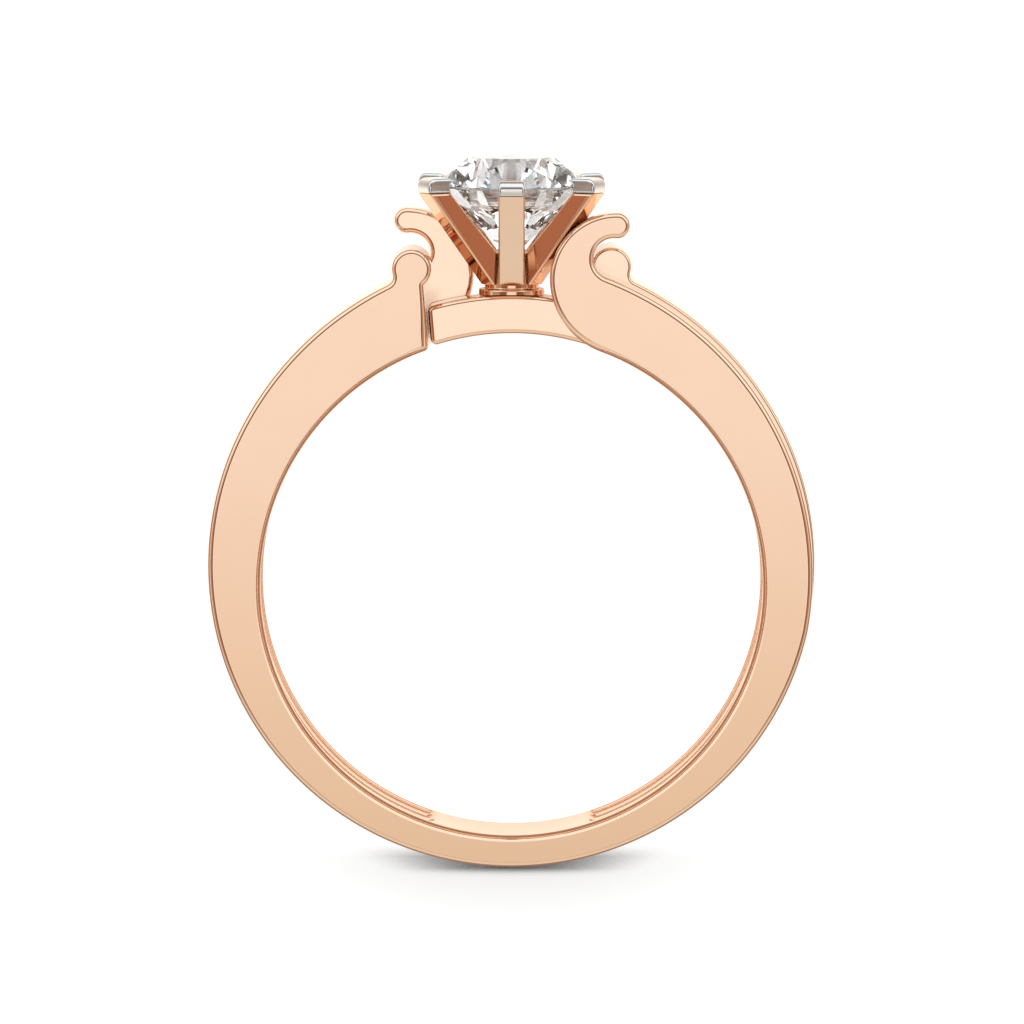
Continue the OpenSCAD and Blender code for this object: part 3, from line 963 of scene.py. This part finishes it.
def claw_shell(i):
    """Claw i: a small block over its prong, hollowed for the stone's edge and rounded all over."""
    stone_r = STONE_D / 2
    edge = stone_r + GAP
    rise = CROWN_H / (stone_r - TABLE_R)
    over = GIRDLE_Y + GIRDLE_T / 2 + GAP
    tip = edge - CLAW_REACH
    low = CLAW_Y + GAP / 2
    side = polygon([[edge, low], [PRONG_TOP_R, low], [CLAW_OUT, CLAW_REST], [CLAW_OUT, CLAW_TOP],
                    [tip + CLAW_EDGE, CLAW_TOP],
                    [tip + CLAW_END, over + (CLAW_REACH - CLAW_END) * rise], [edge, over]],
                   CLAW_CORNERS, step=0.05)
    block = rounded_slab(side, -PRONG_W / 2, PRONG_W / 2, CLAW_SOFT, CLAW_SOFT)
    return block.turned(prong_turn(i))


piece("band_and_shoulders", shank_shell(), rose_gold, "shank")
piece("bridge_rounded", bridge_shell(), rose_gold, "bridge")
piece("prongs_and_foot", setting_shell(), prong_gold_reflection_deepened, "setting")
for number in range(PRONGS):
    claw = f"claw_{number + 1}"
    piece(f"{claw}_rounded", claw_shell(number), white_gold, claw)

# The stone's own flat facets stay, with a better material
clear_stone = cut_stone("diamond_cut")
for slot in bpy.data.objects["stone"].material_slots:
    slot.material = clear_stone


# Floor and light

# Light from the side that the front faces mirror, from the floor upwards:
# (upward part of the direction along Y, colour)
FRONT_GRADE = [(-0.30, (0.79, 0.80, 0.745)), (-0.24, (0.80, 0.81, 0.75)),
               (-0.2366, (0.845, 0.858, 0.795)), (-0.2286, (0.866, 0.882, 0.842)),
               (-0.2169, (0.911, 0.950, 0.922)), (-0.2052, (0.968, 1.03, 1.067)),
               (-0.1988, (1.004, 1.088, 1.146)), (-0.178, (1.02, 1.115, 1.185)),
               (-0.150, (1.12, 1.27, 1.38)), (0.0, (1.15, 1.30, 1.40))]
# Light round that side: (degrees from it, colour), from above, from the sides and from below
PEACH = (1.02, 1.11, 1.18)
CREAM = (1.12, 1.32, 1.42)
BROWN = (0.52, 0.36, 0.27)
COPPER = (0.52, 0.35, 0.28)
UMBER = (0.32, 0.195, 0.14)
DARK = (0.26, 0.155, 0.11)
TAN = (0.85, 0.86, 0.80)
FOOT = (0.82, 1.03, 1.12)
FROM_ABOVE = [(0, PEACH), (13, PEACH), (20, UMBER), (40, UMBER), (52, CREAM), (110, CREAM)]
FROM_SIDES = [(0, PEACH), (13, PEACH), (20, DARK), (38, DARK), (48, COPPER), (66, COPPER),
              (74, PEACH), (80, PEACH), (88, BROWN), (110, BROWN)]
FROM_BELOW = [(0, TAN), (60, TAN), (72, FOOT), (82, FOOT), (92, DARK), (110, DARK)]
# Upward parts of the direction between which the light of the sides turns to that from above,
# and that from below to that of the sides
SIDES_END = (0.0, 0.3)
BELOW_END = (-0.6, -0.35)
# Degrees from the mirrored side between which the front's light turns to that round it
FRONT_END = (10, 18)


def studio_world():
    """Soft light from all round with a darker band, as between the panels of a light tent.

    Mirrored light depends on the angle from the direction that the ring's front faces mirror and,
    close to that, on the height. Light that leaves the stone comes from a patchwork of white, grey
    and black cards. The camera itself sees plain white.
    """
    world = bpy.data.worlds.new("studio")
    bpy.context.scene.world = world
    nodes = Nodes(world)
    way = nodes.add("ShaderNodeTexCoord").outputs["Generated"]
    height = nodes.add("ShaderNodeSeparateXYZ", Vector=way).outputs["Y"]
    mirrored_side = (0, -sin(TILT + pitch), cos(TILT + pitch))
    angle = nodes.maths("ARCCOSINE", nodes.between("DOT_PRODUCT", way, mirrored_side))
    share = nodes.maths("DIVIDE", angle, pi)
    above, beside, below = (
        nodes.graded(share, [(degree / 180, colour) for degree, colour in stops], "EASE")
        for stops in (FROM_ABOVE, FROM_SIDES, FROM_BELOW))
    upper = nodes.mix(nodes.spread(height, *SIDES_END, 1.0, 0.0), above, beside)
    round_it = nodes.mix(nodes.spread(height, *BELOW_END, 1.0, 0.0), upper, below)
    front = nodes.graded(nodes.spread(height, -1.0, 1.0),
                         [((y + 1) / 2, colour) for y, colour in FRONT_GRADE])
    near = nodes.spread(share, *(degree / 180 for degree in FRONT_END), 1.0, 0.0)
    mirrored_light = nodes.mix(near, round_it, front)
    seen = nodes.add("ShaderNodeLightPath").outputs
    through = nodes.mix(seen["Is Transmission Ray"], mirrored_light,
                        nodes.patches(way, WORLD_PATCHES))
    direct = nodes.mix(seen["Is Camera Ray"], through, (1.0, 1.0, 1.0))
    studio = nodes.add("ShaderNodeBackground", Color=direct)
    nodes.add("ShaderNodeOutputWorld", Surface=studio.outputs["Background"])


def soft_lamp(name, way, strength, spread):
    """A very soft far light that comes from the given direction and shows in no reflection."""
    data = bpy.data.lights.new(name, "SUN")
    data.energy = strength
    data.angle = radians(spread)
    lamp = bpy.data.objects.new(name, data)
    lamp.rotation_euler = (atan2(hypot(way[0], way[1]), way[2]), 0, atan2(way[1], way[0]) + pi / 2)
    lamp.visible_glossy = False
    lamp.visible_transmission = False
    bpy.context.scene.collection.objects.link(lamp)


def table_top():
    """The floor: a flat disc of points r (cos a, sin a), a hair under the ring."""
    count, r, drop = 96, 4, 0.00001
    angle = np.linspace(0, 2 * pi, count, endpoint=False)
    rim = np.stack([r * np.cos(angle), r * np.sin(angle), np.full(count, -drop)], -1)
    mesh = bpy.data.meshes.new("floor")
    mesh.from_pydata(rim, [], [list(range(count))])
    mesh.materials.append(pale_floor("table_white"))
    made = bpy.data.objects.new("floor", mesh)
    bpy.context.scene.collection.objects.link(made)


studio_world()
table_top()
soft_lamp("key", (0.0, 0.56, 0.83), strength=2.4, spread=40)

scene = bpy.context.scene
scene.view_settings.view_transform = "Standard"
scene.cycles.max_bounces = 24
scene.cycles.glossy_bounces = 12
scene.cycles.transmission_bounces = 24
scene.cycles.caustics_reflective = True
scene.cycles.caustics_refractive = True
